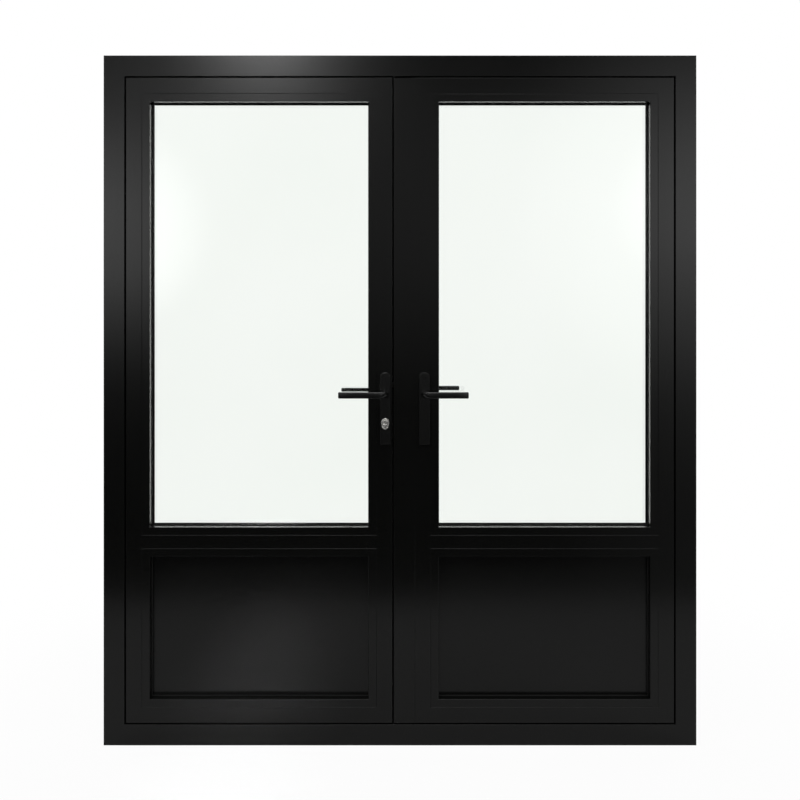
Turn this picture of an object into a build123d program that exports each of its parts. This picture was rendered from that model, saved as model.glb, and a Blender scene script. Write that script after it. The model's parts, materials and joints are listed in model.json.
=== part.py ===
from build123d import *
import os

# Pair of aluminium french doors in their frame, closed. Millimetres, +X right, +Y to the inside of the
# building, +Z up. The origin is the middle of the sill's underside. The leaves open towards +Y.

# Frame
FRAME_W = 1800.0
FRAME_H = 2095.0
PROFILE_D = 64.0
FRAME_FACE = 63.0
STOP = 22.0
LIP_D = 24.0
WALL = 2.0
EDGE_R = 0.8
GAP = 5.0
FRAME_SEAL_W = 8.0
FRAME_SEAL_SPACE = 4.0
FRAME_SEAL_SLACK = 0.3

# Leaves
MEETING_LEFT = -23.5
MULLION_W = 64.0
CORE_W = 48.0
BEAD_W = 24.0
BEAD_WALL = 1.6
BEAD_CLIP = 0.3
LEG_T = 10.0
MID_RAIL_Z = 618.0
MID_CORE = 40.0

# Glass and panel
GLASS_RECESS = 28.0
UNIT_T = 24.0
PANE_T = 5.0
SPACER_W = 12.0
SPACER_INSET = 2.0
EDGE_SPACE = 5.0
OUTER_GASKET_T = 3.0
GASKET_W = 7.0
GASKET_PROUD = 2.0
BLOCK_L = 100.0
BLOCK_FROM_END = 60.0

# Seals in the meeting gap
LEFT_SEAL_Y = 17.0
LEFT_SEAL_PROUD = 1.4
MULLION_SEAL_Y = -19.0
MULLION_SEAL_PROUD = 1.0
MEETING_SEAL_W = 6.0

# Hinges
HINGE_HEIGHTS = (280.0, 1050.0, 1820.0)
HINGE_L = 110.0
HINGE_MIDDLE_L = 46.0
HINGE_PLATE_W = 30.0
HINGE_PLATE_T = 8.0
KNUCKLE_R = 9.5
KNUCKLE_STAND = 0.8
KNUCKLE_GAP = 0.5
PIN_R = 5.0
PIN_FIT = 0.05
PIN_CAP_T = 3.0

# Handles
HANDLE_Z = 1070.5
LEFT_HANDLE_X = -45.0
RIGHT_HANDLE_X = 74.0
PLATE_W = 32.0
PLATE_TOP = 1133.0
PLATE_BOTTOM = 915.0
PLATE_T = 9.0
PLATE_FOOT_R = 4.0
PLATE_EDGE_R = 1.5
HUB_R = 11.0
HUB_FIT = 0.08
HUB_IN_PLATE = 5.0
GRIP_T = 12.0
GRIP_H = 20.0
REAR_GRIP_H = 14.0
GRIP_R = 4.0
GRIP_TIP_R = 2.5
LEVER_PROUD = 58.0
LEVER_BEND_R = 16.0
LEVER_REACH = 136.0
SHORT_REACH = 113.0
SHORT_LIFT = 3.5
SPINDLE_W = 8.0
SPINDLE_FIT = 0.05
SPINDLE_IN_HUB = 30.0
PLATE_SCREW_R = 2.5
PLATE_SCREW_FIT = 0.05
SCREW_HEAD_R = 4.5
SCREW_HEAD_T = 2.5
SCREW_BLIND = 4.0
SCREW_FROM_TOP = 16.0
SCREW_FROM_BOTTOM = 16.0
WALL_HOLE_CLEAR = 2.0

# Lock in the left leaf
CYLINDER_DROP = 88.5
CYLINDER_R = 8.5
CYLINDER_TAIL_W = 10.0
CYLINDER_TAIL = 19.0
CYLINDER_PROUD = 3.0
CYLINDER_FIT = 0.1
COLLAR_R = 12.0
COLLAR_TAIL_R = 9.5
COLLAR_TAIL = 20.5
COLLAR_T = 2.0
PLUG_R = 6.0
PLUG_FIT = 0.05
PLUG_SINK = 0.4
KEYWAY_W = 1.6
KEYWAY_H = 8.0
KEYWAY_D = 14.0
CAM_W = 9.0
CAM_SLOT_W = 10.0
CAM_REACH = 14.5
CAM_THICK = 8.0
CASE_D = 38.0
CASE_T = 16.0
CASE_TOP = 1106.0
CASE_BOTTOM = 940.0
CASE_WALL = 1.5
FACEPLATE_T = 3.0
FACEPLATE_W = 22.0
FACEPLATE_TOP = 1122.0
FACEPLATE_BOTTOM = 926.0
FACEPLATE_FIT = 0.1
FOLLOWER_R = 9.0
FOLLOWER_FIT = 0.08
LATCH_Z = 1092.0
LATCH_H = 16.0
LATCH_R = 6.0
LATCH_L = 22.0
LATCH_PROUD = 2.4
DEADBOLT_Z = 1018.0
DEADBOLT_H = 24.0
DEADBOLT_T = 12.0
DEADBOLT_L = 32.0
DEADBOLT_SINK = 0.5
BOLT_CLEAR = 0.3

# Strike plate in the mullion
STRIKE_TOP = 1112.0
STRIKE_BOTTOM = 990.0
STRIKE_CLEAR = 1.0
POCKET_D = 24.0

# Shoot bolts in the right leaf
ROD_X = 62.5
ROD_Y = 12.0
ROD_R = 4.0
ROD_FIT = 0.1
ROD_SINK = 1.0
ROD_FROM_HANDLE = 14.0
GEARBOX_W = 35.0
GEARBOX_T = 36.0
GEARBOX_H = 72.0
GEARBOX_EDGE = 10.0
KEEPER_BORE_R = 4.5
KEEPER_R = 8.0
KEEPER_FLANGE_R = 11.0
KEEPER_FLANGE_T = 1.5
KEEPER_L = 10.0
KEEPER_FIT = 0.05
CAP_L = 8.0
CAP_FIT = 0.1

# Fixing holes through the jambs
FIXING_HEIGHTS = (300.0, 800.0, 1300.0, 1800.0)
FIXING_R = 5.0
FIXING_Y = 12.0

# Planes and edges worked out from the sizes above
FRONT = -PROFILE_D / 2
REAR = PROFILE_D / 2
LIP_REAR = FRONT + LIP_D
FLANGE_FRONT = LIP_REAR + FRAME_SEAL_SPACE
LEAF_EDGE = FRAME_FACE + GAP
FLANGE_EDGE = LEAF_EDGE - STOP
BORDER = CORE_W + BEAD_W
FLANGE_BORDER = STOP + BORDER
HINGE_EDGE_X = FRAME_W / 2 - FLANGE_EDGE
LEAF_BOTTOM = FLANGE_EDGE
LEAF_TOP = FRAME_H - FLANGE_EDGE
MULLION_X0 = MEETING_LEFT + GAP
MULLION_X1 = MULLION_X0 + MULLION_W
UNIT_FRONT = FRONT + GLASS_RECESS
UNIT_REAR = UNIT_FRONT + UNIT_T
LEG_FRONT = REAR - LEG_T
BEAD_REAR = UNIT_FRONT - OUTER_GASKET_T
AXIS_X = FRAME_W / 2 - (FRAME_FACE - STOP) - GAP / 2
AXIS_Y = REAR + KNUCKLE_R + KNUCKLE_STAND
PLATE_FACE = REAR + PLATE_T
LEVER_FACE = REAR + LEVER_PROUD
CYLINDER_Z = HANDLE_Z - CYLINDER_DROP
CASE_X1 = MEETING_LEFT - FACEPLATE_T
CASE_X0 = CASE_X1 - CASE_D
SCREW_HEIGHTS = (PLATE_BOTTOM + SCREW_FROM_BOTTOM, PLATE_TOP - SCREW_FROM_TOP)
SIDES = ("left", "top", "right", "bottom")


def block(x0, x1, y0, y1, z0, z1):
    """A box between two corners."""
    middle = Pos((x0 + x1) / 2, (y0 + y1) / 2, (z0 + z1) / 2)
    return middle * Box(x1 - x0, y1 - y0, z1 - z0)


def prism_y(outline, y0, y1):
    """A flat outline drawn in X and Z, drawn out from y0 to y1."""
    solid = extrude(Plane.XZ * outline, amount=y1 - y0)
    return Pos(0, y1, 0) * solid


def rod_y(x, z, radius, y0, y1):
    """A round bar along Y."""
    return prism_y(Pos(x, z) * Circle(radius), y0, y1)


def rod_z(x, y, radius, z0, z1):
    """A round bar along Z."""
    return Pos(x, y, (z0 + z1) / 2) * Cylinder(radius, z1 - z0)


def rod_x(y, z, radius, x0, x1):
    """A round bar along X."""
    return Pos((x0 + x1) / 2, y, z) * Rot(0, 90, 0) * Cylinder(radius, x1 - x0)


def square_y(x, z, width, y0, y1):
    """A square bar along Y."""
    return block(x - width / 2, x + width / 2, y0, y1, z - width / 2, z + width / 2)


def group(pieces):
    """Separate solids that share one node."""
    return Compound(children=[solid for piece in pieces for solid in piece.solids()])


def section(outline, chambers, radius=EDGE_R):
    """An extrusion's section: rounded corners outside and square chambers, as (u0, y0, u1, y1)."""
    face = make_face(Polyline(*outline, close=True))
    face = fillet(outer_corners(face, outline), radius)
    for u0, y0, u1, y1 in chambers:
        face -= Pos((u0 + u1) / 2, (y0 + y1) / 2) * Rectangle(u1 - u0, y1 - y0)
    return face


def outer_corners(face, outline):
    """The face's corners that point outwards, for an outline of level and upright edges."""
    points = [Vector(*corner) for corner in outline]
    before, after = points[-1:] + points[:-1], points[1:] + points[:1]
    way = sum(p.cross(q).Z for p, q in zip(points, after))
    convex = [
        point
        for last, point, following in zip(before, points, after)
        if (point - last).cross(following - point).Z * way > 0
    ]
    return [v for v in face.vertices() if any((Vector(*v) - c).length < WALL / 2 for c in convex)]


def bar(face, ends):
    """A section drawn out and cut to an outline of (u, distance along the bar)."""
    reach = max(along for _, along in ends)
    cut = make_face(Polyline(*ends, close=True))
    return extrude(face, amount=reach) & extrude(Plane.XZ * cut, amount=PROFILE_D, both=True)


def side_plane(side, x0, x1, z0, z1):
    """The start of a bar on one side of a rectangle: u runs inwards from its edge."""
    planes = {
        "left": Plane((x0, 0, z0), x_dir=(1, 0, 0), z_dir=(0, 0, 1)),
        "top": Plane((x0, 0, z1), x_dir=(0, 0, -1), z_dir=(1, 0, 0)),
        "right": Plane((x1, 0, z1), x_dir=(-1, 0, 0), z_dir=(0, 0, -1)),
        "bottom": Plane((x1, 0, z0), x_dir=(0, 0, 1), z_dir=(-1, 0, 0)),
    }
    return planes[side]


def mitred_ring(face, width, x0, x1, z0, z1):
    """Four bars of one section round a rectangle, mitred where they meet."""
    bars = {}
    for side in SIDES:
        length = z1 - z0 if side in ("left", "right") else x1 - x0
        ends = [(0, 0), (0, length), (width, length - width), (width, width)]
        bars[side] = side_plane(side, x0, x1, z0, z1).location * bar(face, ends)
    return bars


def flat_ring(x0, x1, z0, z1, width, y0, y1):
    """A rectangular ring of one piece, such as a gasket."""
    inside = block(x0 + width, x1 - width, y0, y1, z0 + width, z1 - width)
    return block(x0, x1, y0, y1, z0, z1) - inside


def frame_section():
    """The frame's section: the front lip is the stop that the leaves close against."""
    back_w = FRAME_FACE - STOP
    outline = [
        (0, FRONT),
        (FRAME_FACE, FRONT),
        (FRAME_FACE, LIP_REAR),
        (back_w, LIP_REAR),
        (back_w, REAR),
        (0, REAR),
    ]
    chambers = [
        (WALL, FRONT + WALL, FRAME_FACE - WALL, LIP_REAR - WALL),
        (WALL, LIP_REAR, back_w - WALL, REAR - WALL),
    ]
    return section(outline, chambers)


def leaf_section():
    """A leaf's section on its hinge side, top and bottom, with the flange behind the stop."""
    core = STOP + CORE_W
    outline = [
        (STOP, FRONT),
        (core, FRONT),
        (core, LEG_FRONT),
        (FLANGE_BORDER, LEG_FRONT),
        (FLANGE_BORDER, REAR),
        (0, REAR),
        (0, FLANGE_FRONT),
        (STOP, FLANGE_FRONT),
    ]
    chambers = [
        (STOP + WALL, FRONT + WALL, core - WALL, FLANGE_FRONT),
        (WALL, FLANGE_FRONT + WALL, core - WALL, REAR - WALL),
        (core, LEG_FRONT + WALL, FLANGE_BORDER - WALL, REAR - WALL),
    ]
    return section(outline, chambers)


def meeting_section():
    """A leaf's section beside the meeting gap: no flange, and one chamber for the lock."""
    outline = [
        (0, FRONT),
        (CORE_W, FRONT),
        (CORE_W, LEG_FRONT),
        (BORDER, LEG_FRONT),
        (BORDER, REAR),
        (0, REAR),
    ]
    chambers = [
        (WALL, FRONT + WALL, CORE_W - WALL, REAR - WALL),
        (CORE_W, LEG_FRONT + WALL, BORDER - WALL, REAR - WALL),
    ]
    return section(outline, chambers)


def mid_rail_section():
    """The mid rail's section, u upwards from the lower opening's edge."""
    low, high = BEAD_W, BEAD_W + MID_CORE
    full = high + BEAD_W
    outline = [
        (low, FRONT),
        (high, FRONT),
        (high, LEG_FRONT),
        (full, LEG_FRONT),
        (full, REAR),
        (0, REAR),
        (0, LEG_FRONT),
        (low, LEG_FRONT),
    ]
    chambers = [
        (low + WALL, FRONT + WALL, high - WALL, REAR - WALL),
        (WALL, LEG_FRONT + WALL, low, REAR - WALL),
        (high, LEG_FRONT + WALL, full - WALL, REAR - WALL),
    ]
    return section(outline, chambers)


def bead_section():
    """A clip-in bead: a closed tube that holds the glass or panel from the front."""
    outline = [(BEAD_CLIP, FRONT), (BEAD_W, FRONT), (BEAD_W, BEAD_REAR), (BEAD_CLIP, BEAD_REAR)]
    inner = (
        BEAD_CLIP + BEAD_WALL,
        FRONT + BEAD_WALL,
        BEAD_W - BEAD_WALL,
        BEAD_REAR - BEAD_WALL,
    )
    return section(outline, [inner])


def frame_parts():
    """The four frame bars, the rebate's gasket and the keepers of the shoot bolts."""
    bars = mitred_ring(frame_section(), FRAME_FACE, -FRAME_W / 2, FRAME_W / 2, 0, FRAME_H)
    for side, edge in (("left", -FRAME_W / 2), ("right", FRAME_W / 2)):
        for height in FIXING_HEIGHTS:
            bars[side] -= rod_x(FIXING_Y, height, FIXING_R, edge - FRAME_FACE, edge + FRAME_FACE)
    for side, edge, into in (("top", FRAME_H, -1), ("bottom", 0, 1)):
        mouth = edge + into * (FRAME_FACE - STOP)
        depth = mouth - into * 2 * WALL
        low, high = sorted((mouth + into, depth))
        bars[side] -= rod_z(ROD_X, ROD_Y, KEEPER_R + KEEPER_FIT, low, high)
    seal_edge = FLANGE_EDGE + (STOP - FRAME_SEAL_W) / 2
    gasket = flat_ring(
        -FRAME_W / 2 + seal_edge,
        FRAME_W / 2 - seal_edge,
        seal_edge,
        FRAME_H - seal_edge,
        FRAME_SEAL_W,
        LIP_REAR,
        FLANGE_FRONT - FRAME_SEAL_SLACK,
    )
    return {
        "frame_jamb_left": bars["left"],
        "frame_jamb_right": bars["right"],
        "frame_head": bars["top"],
        "frame_sill": bars["bottom"],
        "frame_gasket": gasket,
        "shoot_bolt_keepers": group(keeper(up) for up in (True, False)),
    }


def keeper(up):
    """A bush in the frame that takes a shoot bolt, in the head or in the sill."""
    mouth = FRAME_H - (FRAME_FACE - STOP)
    bush = rod_z(ROD_X, ROD_Y, KEEPER_R, mouth, mouth + KEEPER_L)
    bush += rod_z(ROD_X, ROD_Y, KEEPER_FLANGE_R, mouth - KEEPER_FLANGE_T, mouth)
    bush -= rod_z(ROD_X, ROD_Y, KEEPER_BORE_R, mouth - GAP, mouth + 2 * KEEPER_L)
    if up:
        return bush
    return mirror(bush, Plane((0, 0, FRAME_H / 2), z_dir=(0, 0, 1)))


def leaf_frame(meeting_x):
    """The stiles and rails of a leaf that hangs on its left, up to meeting_x on its right."""
    x0, x1, z0, z1 = -HINGE_EDGE_X, meeting_x, LEAF_BOTTOM, LEAF_TOP
    wide, tall = x1 - x0, z1 - z0
    edge, inner = leaf_section(), FLANGE_BORDER
    hinge_ends = [(0, 0), (0, tall), (inner, tall - inner), (inner, inner)]
    meeting_ends = [(0, STOP), (0, tall - STOP), (BORDER, tall - inner), (BORDER, inner)]
    top_ends = [(0, 0), (0, wide), (STOP, wide), (inner, wide - BORDER), (inner, inner)]
    bottom_ends = [(0, 0), (0, wide), (inner, wide - inner), (inner, BORDER), (STOP, 0)]

    def place(side):
        return side_plane(side, x0, x1, z0, z1).location

    rail_x0, rail_x1 = x0 + STOP + CORE_W, x1 - CORE_W
    rail_z0 = MID_RAIL_Z - MID_CORE / 2 - BEAD_W
    rail_height = MID_CORE + 2 * BEAD_W
    rail_start = Plane((rail_x1, 0, rail_z0), x_dir=(0, 0, 1), z_dir=(-1, 0, 0))
    rail = rail_start.location * extrude(mid_rail_section(), amount=rail_x1 - rail_x0)
    for low, high in ((rail_x0, rail_x0 + BEAD_W), (rail_x1 - BEAD_W, rail_x1)):
        rail -= block(low, high, LEG_FRONT, REAR, rail_z0, rail_z0 + rail_height)
    return {
        "hinge_stile": place("left") * bar(edge, hinge_ends),
        "meeting_stile": place("right") * bar(meeting_section(), meeting_ends),
        "top_rail": place("top") * bar(edge, top_ends),
        "mid_rail": rail,
        "bottom_rail": place("bottom") * bar(edge, bottom_ends),
    }


def infill(x0, x1, z0, z1):
    """The corners of the glass or panel that stands in a rebate, clear of its edges."""
    return x0 + EDGE_SPACE, x1 - EDGE_SPACE, z0 + EDGE_SPACE, z1 - EDGE_SPACE


def leaf_infill(meeting_x):
    """Glass, panel, beads, gaskets and blocks of a leaf that hangs on its left."""
    x0, x1 = -HINGE_EDGE_X + STOP + CORE_W, meeting_x - CORE_W
    glass_area = (x0, x1, MID_RAIL_Z + MID_CORE / 2, LEAF_TOP - STOP - CORE_W)
    panel_area = (x0, x1, LEAF_BOTTOM + STOP + CORE_W, MID_RAIL_Z - MID_CORE / 2)
    gx0, gx1, gz0, gz1 = infill(*glass_area)
    px0, px1, pz0, pz1 = infill(*panel_area)
    outer_pane = block(gx0, gx1, UNIT_FRONT, UNIT_FRONT + PANE_T, gz0, gz1)
    inner_pane = block(gx0, gx1, UNIT_REAR - PANE_T, UNIT_REAR, gz0, gz1)
    spacer = flat_ring(
        gx0 + SPACER_INSET,
        gx1 - SPACER_INSET,
        gz0 + SPACER_INSET,
        gz1 - SPACER_INSET,
        SPACER_W,
        UNIT_FRONT + PANE_T,
        UNIT_REAR - PANE_T,
    )
    beads, rubber = [], []
    for area in (glass_area, panel_area):
        ax0, ax1, az0, az1 = area
        beads += mitred_ring(bead_section(), BEAD_W, *area).values()
        inset = BEAD_W + GASKET_PROUD - GASKET_W
        ring = (ax0 + inset, ax1 - inset, az0 + inset, az1 - inset, GASKET_W)
        rubber.append(flat_ring(*ring, BEAD_REAR, UNIT_FRONT))
        rubber.append(flat_ring(*ring, UNIT_REAR, LEG_FRONT))
        for start in (ax0 + BLOCK_FROM_END, ax1 - BLOCK_FROM_END - BLOCK_L):
            rubber.append(block(start, start + BLOCK_L, UNIT_FRONT, UNIT_REAR, az0, az0 + EDGE_SPACE))
    return {
        "glass_panes": group([outer_pane, inner_pane]),
        "glass_spacer": spacer,
        "panel": block(px0, px1, UNIT_FRONT, UNIT_REAR, pz0, pz1),
        "glazing_beads": group(beads),
        "glazing_gaskets": group(rubber),
    }


def hinge_spans(height):
    """A hinge's bottom, its middle knuckle's bottom and top, and its top."""
    half, middle = HINGE_L / 2, HINGE_MIDDLE_L / 2
    return height - half, height - middle, height + middle, height + half


def frame_hinge_half(height):
    """The frame's half of a left-hand hinge: a screwed plate and two knuckles."""
    z0, z1, z2, z3 = hinge_spans(height)
    edge = -AXIS_X - KNUCKLE_R - KNUCKLE_GAP
    half = block(edge - HINGE_PLATE_W, edge, REAR, REAR + HINGE_PLATE_T, z0, z3)
    for low, high in ((z0, z1 - KNUCKLE_GAP), (z2 + KNUCKLE_GAP, z3)):
        half += block(edge, -AXIS_X, REAR + KNUCKLE_STAND, REAR + HINGE_PLATE_T, low, high)
        half += rod_z(-AXIS_X, AXIS_Y, KNUCKLE_R, low, high)
    return half - rod_z(-AXIS_X, AXIS_Y, PIN_R + PIN_FIT, z0, z3)


def leaf_hinge_half(height):
    """The leaf's half of a left-hand hinge: a screwed plate and the middle knuckle."""
    z0, z1, z2, z3 = hinge_spans(height)
    edge = -AXIS_X + KNUCKLE_R + KNUCKLE_GAP
    half = block(edge, edge + HINGE_PLATE_W, REAR, REAR + HINGE_PLATE_T, z0, z3)
    half += block(-AXIS_X, edge, REAR + KNUCKLE_STAND, REAR + HINGE_PLATE_T, z1, z2)
    half += rod_z(-AXIS_X, AXIS_Y, KNUCKLE_R, z1, z2)
    return half - rod_z(-AXIS_X, AXIS_Y, PIN_R + PIN_FIT, z0, z3)


def hinge_pin(height):
    """A hinge pin with a cap at each end."""
    z0, _, _, z3 = hinge_spans(height)
    pin = rod_z(-AXIS_X, AXIS_Y, PIN_R, z0, z3)
    pin += rod_z(-AXIS_X, AXIS_Y, KNUCKLE_R, z0 - PIN_CAP_T, z0)
    pin += rod_z(-AXIS_X, AXIS_Y, KNUCKLE_R, z3, z3 + PIN_CAP_T)
    return pin


def hinge_parts():
    """The hinges of both leaves. The right-hand ones are mirrored."""
    frame_halves = [frame_hinge_half(height) for height in HINGE_HEIGHTS]
    pins = [hinge_pin(height) for height in HINGE_HEIGHTS]
    leaf_halves = [leaf_hinge_half(height) for height in HINGE_HEIGHTS]
    return {
        "frame_hinge_halves": group(frame_halves + [flipped(half) for half in frame_halves]),
        "hinge_pins": group(pins + [flipped(pin) for pin in pins]),
        "left_hinge_halves": group(leaf_halves),
        "right_hinge_halves": group(flipped(half) for half in leaf_halves),
    }


def flipped(piece):
    """The same piece for the other hand."""
    return mirror(piece, Plane.YZ)


def cylinder_outline(grow=0.0):
    """The lock cylinder's outline about its plug: a circle and a narrow tail below it."""
    tail_r = CYLINDER_TAIL_W / 2 + grow
    end = CYLINDER_TAIL - CYLINDER_TAIL_W / 2
    tail = Pos(0, -end / 2) * Rectangle(2 * tail_r, end) + Pos(0, -end) * Circle(tail_r)
    return Circle(CYLINDER_R + grow) + tail


def collar_outline():
    """The egg-shaped collar's outline about the plug."""
    foot = Pos(0, COLLAR_TAIL_R - COLLAR_TAIL) * Circle(COLLAR_TAIL_R)
    return make_hull((Circle(COLLAR_R) + foot).edges())


def cylinder_prism(outline, y0, y1):
    """An outline about the plug, drawn out along Y at the lock."""
    return prism_y(Pos(LEFT_HANDLE_X, CYLINDER_Z) * outline, y0, y1)


def screw(x, height, head_y, blind_y):
    """A through screw with its countersunk head at head_y and its end at blind_y."""
    into = 1 if blind_y > head_y else -1
    y0, y1 = sorted((head_y, blind_y))
    body = rod_y(x, height, PLATE_SCREW_R, y0, y1)
    h0, h1 = sorted((head_y, head_y + into * SCREW_HEAD_T))
    return body + rod_y(x, height, SCREW_HEAD_R, h0, h1)


def screw_hole(x, height, head_y, blind_y):
    """The plates' holes for that screw."""
    into = 1 if blind_y > head_y else -1
    y0, y1 = sorted((head_y, blind_y))
    hole = rod_y(x, height, PLATE_SCREW_R + PLATE_SCREW_FIT, y0, y1)
    h0, h1 = sorted((head_y, head_y + into * SCREW_HEAD_T))
    return hole + rod_y(x, height, SCREW_HEAD_R + PLATE_SCREW_FIT, h0, h1)


def handle_plate(x, front):
    """A handle's back plate, round at the top, on the front or the rear of a leaf."""
    straight_top = PLATE_TOP - PLATE_W / 2
    middle = (PLATE_BOTTOM + straight_top) / 2
    body = Pos(x, middle) * Rectangle(PLATE_W, straight_top - PLATE_BOTTOM)
    foot = body.vertices().group_by(Axis.Y)[0]
    outline = fillet(foot, PLATE_FOOT_R) + Pos(x, straight_top) * Circle(PLATE_W / 2)
    y0, y1 = (-PLATE_FACE, FRONT) if front else (REAR, PLATE_FACE)
    plate = prism_y(outline, y0, y1)
    face = plate.faces().sort_by(Axis.Y)[0 if front else -1]
    plate = fillet(face.edges(), PLATE_EDGE_R)
    plate -= rod_y(x, HANDLE_Z, SPINDLE_W, y0, y1)
    sink = (-PLATE_FACE, -PLATE_FACE + HUB_IN_PLATE + HUB_FIT)
    if not front:
        sink = (PLATE_FACE - HUB_IN_PLATE - HUB_FIT, PLATE_FACE)
    return plate - rod_y(x, HANDLE_Z, HUB_R + HUB_FIT, *sink)


def lever(x, reach, height, lift=0.0):
    """A front lever that points left from its hub: one bent bar, lift above the hub's middle."""
    middle_y = -LEVER_FACE + GRIP_T / 2
    hub_face = -PLATE_FACE + HUB_IN_PLATE
    path = FilletPolyline(
        (x, hub_face, HANDLE_Z + lift),
        (x, middle_y, HANDLE_Z + lift),
        (x - reach, middle_y, HANDLE_Z + lift),
        radius=LEVER_BEND_R,
    )
    start = Plane((x, hub_face, HANDLE_Z + lift), x_dir=(1, 0, 0), z_dir=(0, -1, 0))
    arm = sweep(start * RectangleRounded(GRIP_T, height, GRIP_R), path=path)
    tip = arm.faces().sort_by(Axis.X)[0]
    arm = fillet(tip.edges(), GRIP_TIP_R)
    hub = rod_y(x, HANDLE_Z, HUB_R, -PLATE_FACE - SPINDLE_IN_HUB, hub_face)
    hub = fillet(hub.edges().group_by(Axis.Y)[0], GRIP_R)
    socket = SPINDLE_W + 2 * SPINDLE_FIT
    end = -PLATE_FACE - SPINDLE_IN_HUB + GRIP_R
    return arm + hub - square_y(x, HANDLE_Z, socket, end, hub_face)


def rear_lever(x, reach, lift=0.0):
    """A rear lever that points left, thinner than the front one."""
    return mirror(lever(x, reach, REAR_GRIP_H, lift), Plane.XZ)


def spindle(x):
    """The square bar that joins a front and a rear lever."""
    end = PLATE_FACE + SPINDLE_IN_HUB - GRIP_R - 1
    return square_y(x, HANDLE_Z, SPINDLE_W, -end, end)


def follower(x, thickness):
    """The hub in a lock or gearbox that the spindle turns."""
    hub = rod_y(x, HANDLE_Z, FOLLOWER_R, -thickness / 2, thickness / 2)
    return hub - square_y(x, HANDLE_Z, SPINDLE_W + 2 * SPINDLE_FIT, -thickness, thickness)


def drill_stile(stile, x):
    """A stile with the holes that the handles need in its two faces."""
    stile -= rod_y(x, HANDLE_Z, SPINDLE_W + WALL_HOLE_CLEAR, FRONT, REAR)
    for height in SCREW_HEIGHTS:
        stile -= rod_y(x, height, PLATE_SCREW_R + WALL_HOLE_CLEAR / 2, FRONT, REAR)
    return stile


def lock_case():
    """The lock's hollow case, with its bolt windows, follower bearings and cylinder hole."""
    half = CASE_T / 2
    case = block(CASE_X0, CASE_X1, -half, half, CASE_BOTTOM, CASE_TOP)
    case -= block(
        CASE_X0 + CASE_WALL,
        CASE_X1 - CASE_WALL,
        CASE_WALL - half,
        half - CASE_WALL,
        CASE_BOTTOM + CASE_WALL,
        CASE_TOP - CASE_WALL,
    )
    case -= rod_y(LEFT_HANDLE_X, HANDLE_Z, FOLLOWER_R + FOLLOWER_FIT, -half, half)
    case -= cylinder_prism(cylinder_outline(CYLINDER_FIT), -half, half)
    return case - latch_window() - deadbolt_window()


def lock_faceplate():
    """The plate in the leaf's edge that the latch and the deadbolt pass through."""
    half = FACEPLATE_W / 2
    plate = block(CASE_X1, MEETING_LEFT, -half, half, FACEPLATE_BOTTOM, FACEPLATE_TOP)
    return plate - latch_window() - deadbolt_window()


def latch_window():
    """The passage for the latch through faceplate and case."""
    half_w, half_h = LATCH_R + BOLT_CLEAR, LATCH_H / 2 + BOLT_CLEAR
    x0, x1 = CASE_X1 - 2 * CASE_WALL, MEETING_LEFT
    return block(x0, x1, -half_w, half_w, LATCH_Z - half_h, LATCH_Z + half_h)


def deadbolt_window():
    """The passage for the deadbolt through faceplate and case."""
    half_w, half_h = DEADBOLT_T / 2 + BOLT_CLEAR, DEADBOLT_H / 2 + BOLT_CLEAR
    x0, x1 = CASE_X1 - 2 * CASE_WALL, MEETING_LEFT
    return block(x0, x1, -half_w, half_w, DEADBOLT_Z - half_h, DEADBOLT_Z + half_h)


def latch():
    """The roller latch: a block with a half-round nose."""
    tip = MEETING_LEFT + LATCH_PROUD
    z0, z1 = LATCH_Z - LATCH_H / 2, LATCH_Z + LATCH_H / 2
    body = block(tip - LATCH_L, tip - LATCH_R, -LATCH_R, LATCH_R, z0, z1)
    return body + rod_z(tip - LATCH_R, 0, LATCH_R, z0, z1)


def deadbolt():
    """The deadbolt, drawn back behind the faceplate."""
    tip = MEETING_LEFT - DEADBOLT_SINK
    half = DEADBOLT_T / 2
    z0, z1 = DEADBOLT_Z - DEADBOLT_H / 2, DEADBOLT_Z + DEADBOLT_H / 2
    bolt = block(tip - DEADBOLT_L, tip, -half, half, z0, z1)
    return chamfer(bolt.faces().sort_by(Axis.X)[-1].edges(), DEADBOLT_SINK)


def lock_cylinder():
    """The fixed body of the cylinder, open in the middle for the cam, and its two collars."""
    end = PLATE_FACE + CYLINDER_PROUD
    body = cylinder_prism(cylinder_outline(), -end, end)
    body -= rod_y(LEFT_HANDLE_X, CYLINDER_Z, PLUG_R + PLUG_FIT, -end, end)
    half = CAM_SLOT_W / 2
    bridge_top = CYLINDER_Z - CAM_REACH - PLUG_FIT
    body -= block(CASE_X0, CASE_X1, -half, half, bridge_top, CYLINDER_Z + CYLINDER_R)
    ring = collar_outline() - cylinder_outline(PLUG_FIT)
    front = cylinder_prism(ring, -PLATE_FACE - COLLAR_T, -PLATE_FACE)
    rear = cylinder_prism(ring, PLATE_FACE, PLATE_FACE + COLLAR_T)
    return group([body, front, rear])


def cylinder_plug():
    """The plug with its keyways and the cam that throws the deadbolt."""
    end = PLATE_FACE + CYLINDER_PROUD - PLUG_SINK
    x, z = LEFT_HANDLE_X, CYLINDER_Z
    plug = rod_y(x, z, PLUG_R, -end, end)
    half = CAM_W / 2
    wide = CAM_THICK / 2
    cam = block(x - wide, x + wide, -half, half, z, z + CAM_REACH)
    plug += cam & rod_y(x, z, CAM_REACH, -half, half)
    for y0, y1 in ((-end, KEYWAY_D - end), (end - KEYWAY_D, end)):
        plug -= block(x - KEYWAY_W / 2, x + KEYWAY_W / 2, y0, y1, z - KEYWAY_H / 2, z + KEYWAY_H / 2)
    return plug


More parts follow.
